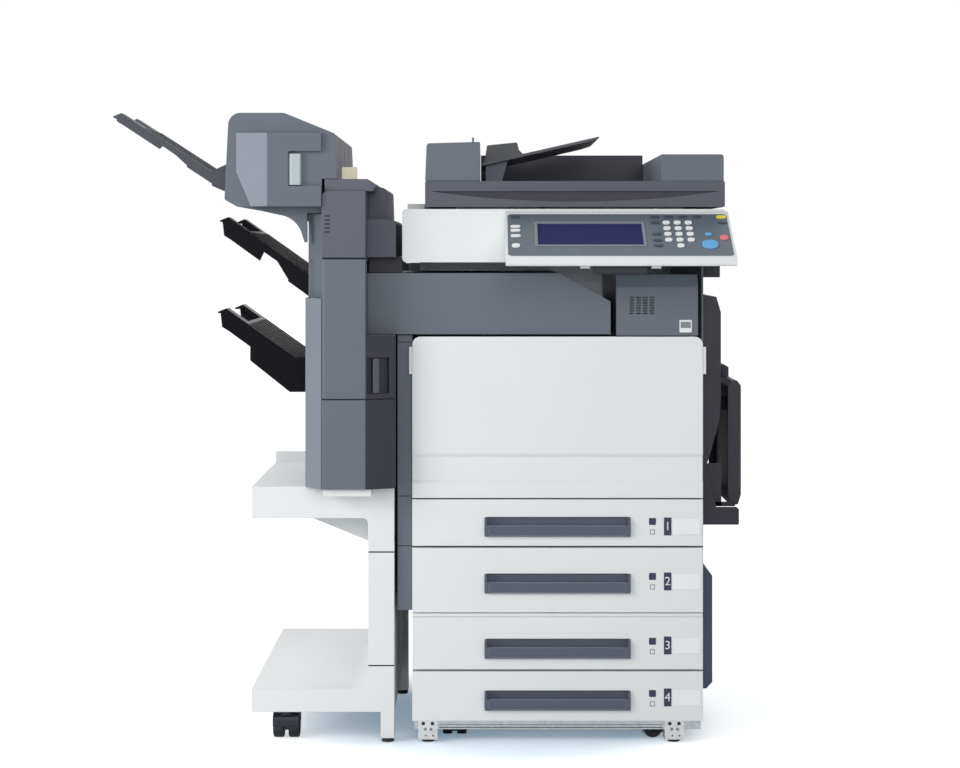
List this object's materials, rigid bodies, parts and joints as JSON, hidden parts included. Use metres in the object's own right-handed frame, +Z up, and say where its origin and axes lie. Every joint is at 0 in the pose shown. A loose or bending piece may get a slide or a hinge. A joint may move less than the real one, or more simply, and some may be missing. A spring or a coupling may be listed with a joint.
{
  "type": "photocopier",
  "caption": "Free-standing office photocopier: drawers in a cabinet, scanner with document feeder and tilting panel, and a relay unit leading to a finisher on a caster desk.",
  "frame": {"origin": "on the floor, under the middle of the machine's bounding box", "axes": "+X to the operator's right, +Y to the rear, +Z up"},
  "size_m": [1.2469, 0.765, 1.232],
  "materials": {
    "white_shell": "fine spark-eroded grain",
    "dark_shell": "fine spark-eroded grain",
    "handle_and_tray": "satin moulded",
    "unit_plastic": "satin moulded",
    "blue_cover": "fine spark-eroded grain",
    "zinc_sheet": "zinc plated",
    "wheel_rubber": "satin",
    "face_gloss": "satin film",
    "key_white": "satin",
    "key_blue": "satin",
    "key_red": "satin",
    "platen": "polished"
  },
  "bodies": {
    "machine": {"base_frame": "zinc_sheet", "levelling_feet": "wheel_rubber", "cabinet_shell": "zinc_sheet", "chassis": "zinc_sheet", "side_covers": "dark_shell", "rear_cover": "dark_shell", "front_upper_cover": "dark_shell", "toner_cartridges": "unit_plastic", "imaging_units": "unit_plastic", "fuser_unit": "unit_plastic", "relay_unit": "dark_shell", "scanner_housing": "white_shell", "platen_glass": "platen", "tower_housing": "dark_shell", "tower_upper_housing": "dark_shell", "head_housing": "dark_shell", "desk_top": "white_shell", "desk_column": "white_shell", "desk_base": "white_shell", "middle_tray": "handle_and_tray"},
    "drawer_one": {"drawer_one_front": "white_shell", "drawer_one_tray": "zinc_sheet"},
    "drawer_two": {"drawer_two_front": "white_shell", "drawer_two_tray": "zinc_sheet"},
    "drawer_three": {"drawer_three_front": "white_shell", "drawer_three_tray": "zinc_sheet"},
    "drawer_four": {"drawer_four_front": "white_shell", "drawer_four_tray": "zinc_sheet"},
    "document_feeder": {"adf_base": "dark_shell"},
    "control_panel": {"panel_housing": "white_shell", "panel_face": "face_gloss"},
    "adf_feed_cover": {"adf_feed_cover": "dark_shell"},
    "bypass_tray": {"bypass_tray": "handle_and_tray"},
    "caster_left_fork": {"caster_left_fork": "unit_plastic"},
    "caster_left_wheels": {"caster_left_wheels": "wheel_rubber"},
    "caster_right_fork": {"caster_right_fork": "unit_plastic"},
    "caster_right_wheels": {"caster_right_wheels": "wheel_rubber"},
    "desk_front_fork": {"desk_front_fork": "unit_plastic"},
    "desk_front_wheels": {"desk_front_wheels": "wheel_rubber"},
    "desk_rear_fork": {"desk_rear_fork": "unit_plastic"},
    "desk_rear_wheels": {"desk_rear_wheels": "wheel_rubber"},
    "document_guide_front": {"document_guide_front": "dark_shell"},
    "document_guide_rear": {"document_guide_rear": "dark_shell"},
    "document_tray": {"document_tray": "dark_shell"},
    "front_door": {"front_door": "white_shell"},
    "head_cover": {"head_cover": "dark_shell"},
    "head_latch": {"head_latch": "white_shell"},
    "lower_tray": {"lower_tray": "handle_and_tray"},
    "mirror_carriage": {"mirror_carriage": "zinc_sheet"},
    "panel_keys": {"panel_keys": "key_white"},
    "panel_lever": {"panel_lever": "unit_plastic"},
    "rear_wheels": {"rear_wheels": "wheel_rubber"},
    "relay_cover": {"relay_cover": "dark_shell"},
    "scan_carriage": {"scan_carriage": "zinc_sheet"},
    "side_door": {"side_door": "dark_shell"},
    "side_feed_door": {"side_feed_door": "blue_cover"},
    "start_key": {"start_key": "key_blue"},
    "stop_key": {"stop_key": "key_red"},
    "top_tray": {"top_tray": "handle_and_tray"},
    "tower_door": {"tower_door": "dark_shell"}
  },
  "joints": [
    {"name": "drawer_one_slide", "type": "slide", "parent": "machine", "child": "drawer_one", "axis": [0, -1, 0], "range_m": [0, 0.35]},
    {"name": "drawer_two_slide", "type": "slide", "parent": "machine", "child": "drawer_two", "axis": [0, -1, 0], "range_m": [0, 0.35]},
    {"name": "drawer_three_slide", "type": "slide", "parent": "machine", "child": "drawer_three", "axis": [0, -1, 0], "range_m": [0, 0.35]},
    {"name": "drawer_four_slide", "type": "slide", "parent": "machine", "child": "drawer_four", "axis": [0, -1, 0], "range_m": [0, 0.35]},
    {"name": "front_door_hinge", "type": "hinge", "parent": "machine", "child": "front_door", "pos_m": [0.254, -0.2375, 0.4775], "axis": [1, 0, 0], "range_deg": [0, 88]},
    {"name": "relay_cover_hinge", "type": "hinge", "parent": "machine", "child": "relay_cover", "pos_m": [0.12, -0.2375, 0.7968], "axis": [1, 0, 0], "range_deg": [0, 88]},
    {"name": "side_door_hinge", "type": "hinge", "parent": "machine", "child": "side_door", "pos_m": [0.5415, 0.33, 0.69], "axis": [0, 0, 1], "range_deg": [0, 60]},
    {"name": "side_feed_door_hinge", "type": "hinge", "parent": "machine", "child": "side_feed_door", "pos_m": [0.5415, 0.2, 0.22], "axis": [0, 0, 1], "range_deg": [0, 80]},
    {"name": "bypass_tray_hinge", "type": "hinge", "parent": "side_door", "child": "bypass_tray", "pos_m": [0.612, 0.02, 0.4625], "axis": [0, 1, 0], "range_deg": [0, 65]},
    {"name": "scan_slide", "type": "slide", "parent": "machine", "child": "scan_carriage", "axis": [1, 0, 0], "range_m": [0, 0.47]},
    {"name": "mirror_slide", "type": "slide", "parent": "machine", "child": "mirror_carriage", "axis": [1, 0, 0], "range_m": [0, 0.235]},
    {"name": "feeder_hinge", "type": "hinge", "parent": "machine", "child": "document_feeder", "pos_m": [0.288, 0.2855, 1.049], "axis": [-1, 0, 0], "range_deg": [0, 60]},
    {"name": "feed_cover_hinge", "type": "hinge", "parent": "document_feeder", "child": "adf_feed_cover", "pos_m": [-0.0045, 0, 1.0958], "axis": [0, -1, 0], "range_deg": [0, 70]},
    {"name": "document_tray_hinge", "type": "hinge", "parent": "document_feeder", "child": "document_tray", "pos_m": [0.106, 0, 1.1315], "axis": [0, -1, 0], "range_deg": [0, 14]},
    {"name": "front_guide_slide", "type": "slide", "parent": "document_tray", "child": "document_guide_front", "axis": [0, 1, 0], "range_m": [-0.04, 0.03]},
    {"name": "rear_guide_slide", "type": "slide", "parent": "document_tray", "child": "document_guide_rear", "axis": [0, 1, 0], "range_m": [-0.03, 0.04]},
    {"name": "panel_tilt", "type": "hinge", "parent": "machine", "child": "control_panel", "pos_m": [0.3685, -0.2435, 0.977], "axis": [1, 0, 0], "range_deg": [0, 18]},
    {"name": "panel_keys_press", "type": "slide", "parent": "control_panel", "child": "panel_keys", "axis": [0, 0.5328, -0.8462], "range_m": [0, 0.001], "stiffness_N_per_m": 500, "springref_m": -0.002},
    {"name": "start_key_press", "type": "slide", "parent": "control_panel", "child": "start_key", "axis": [0, 0.5328, -0.8462], "range_m": [0, 0.001], "stiffness_N_per_m": 500, "springref_m": -0.002},
    {"name": "stop_key_press", "type": "slide", "parent": "control_panel", "child": "stop_key", "axis": [0, 0.5328, -0.8462], "range_m": [0, 0.001], "stiffness_N_per_m": 500, "springref_m": -0.002},
    {"name": "panel_lever_slide", "type": "slide", "parent": "control_panel", "child": "panel_lever", "axis": [0, -1, 0], "range_m": [0, 0.008]},
    {"name": "tower_door_hinge", "type": "hinge", "parent": "machine", "child": "tower_door", "pos_m": [-0.1958, -0.287, 0.81], "axis": [0, 0, -1], "range_deg": [0, 100]},
    {"name": "head_cover_hinge", "type": "hinge", "parent": "machine", "child": "head_cover", "pos_m": [-0.366, -0.2885, 1.115], "axis": [0, 0, -1], "range_deg": [0, 95]},
    {"name": "head_latch_hinge", "type": "hinge", "parent": "head_cover", "child": "head_latch", "pos_m": [-0.2653, -0.2935, 1.116], "axis": [0, 0, -1], "range_deg": [0, 25], "stiffness_Nm_per_rad": 0.3, "springref_deg": -17.19},
    {"name": "top_tray_hinge", "type": "hinge", "parent": "machine", "child": "top_tray", "pos_m": [-0.394, -0.078, 1.133], "axis": [0, 1, 0], "range_deg": [0, 30]},
    {"name": "lower_tray_lift", "type": "slide", "parent": "machine", "child": "lower_tray", "axis": [0, 0, 1], "range_m": [-0.14, 0.02]},
    {"name": "caster_left_swivel", "type": "hinge", "parent": "machine", "child": "caster_left_fork", "pos_m": [0.0525, -0.1755, 0.036], "axis": [0, 0, 1], "continuous": true},
    {"name": "caster_left_roll", "type": "hinge", "parent": "caster_left_fork", "child": "caster_left_wheels", "pos_m": [0.0525, -0.1645, 0.018], "axis": [1, 0, 0], "continuous": true},
    {"name": "caster_right_swivel", "type": "hinge", "parent": "machine", "child": "caster_right_fork", "pos_m": [0.432, -0.1755, 0.036], "axis": [0, 0, 1], "continuous": true},
    {"name": "caster_right_roll", "type": "hinge", "parent": "caster_right_fork", "child": "caster_right_wheels", "pos_m": [0.443, -0.1755, 0.018], "axis": [0, 1, 0], "continuous": true},
    {"name": "desk_front_swivel", "type": "hinge", "parent": "machine", "child": "desk_front_fork", "pos_m": [-0.2785, -0.2035, 0.048], "axis": [0, 0, 1], "continuous": true},
    {"name": "desk_front_roll", "type": "hinge", "parent": "desk_front_fork", "child": "desk_front_wheels", "pos_m": [-0.2785, -0.1895, 0.024], "axis": [1, 0, 0], "continuous": true},
    {"name": "desk_rear_swivel", "type": "hinge", "parent": "machine", "child": "desk_rear_fork", "pos_m": [-0.2785, 0.3155, 0.048], "axis": [0, 0, 1], "continuous": true},
    {"name": "desk_rear_roll", "type": "hinge", "parent": "desk_rear_fork", "child": "desk_rear_wheels", "pos_m": [-0.2785, 0.3295, 0.024], "axis": [1, 0, 0], "continuous": true},
    {"name": "rear_wheels_roll", "type": "hinge", "parent": "machine", "child": "rear_wheels", "pos_m": [0.254, 0.2925, 0.018], "axis": [1, 0, 0], "continuous": true}
  ],
  "couplings": [
    {"joint": "mirror_slide", "follows": "scan_slide", "ratio": 0.5},
    {"joint": "rear_guide_slide", "follows": "front_guide_slide", "ratio": -1}
  ]
}
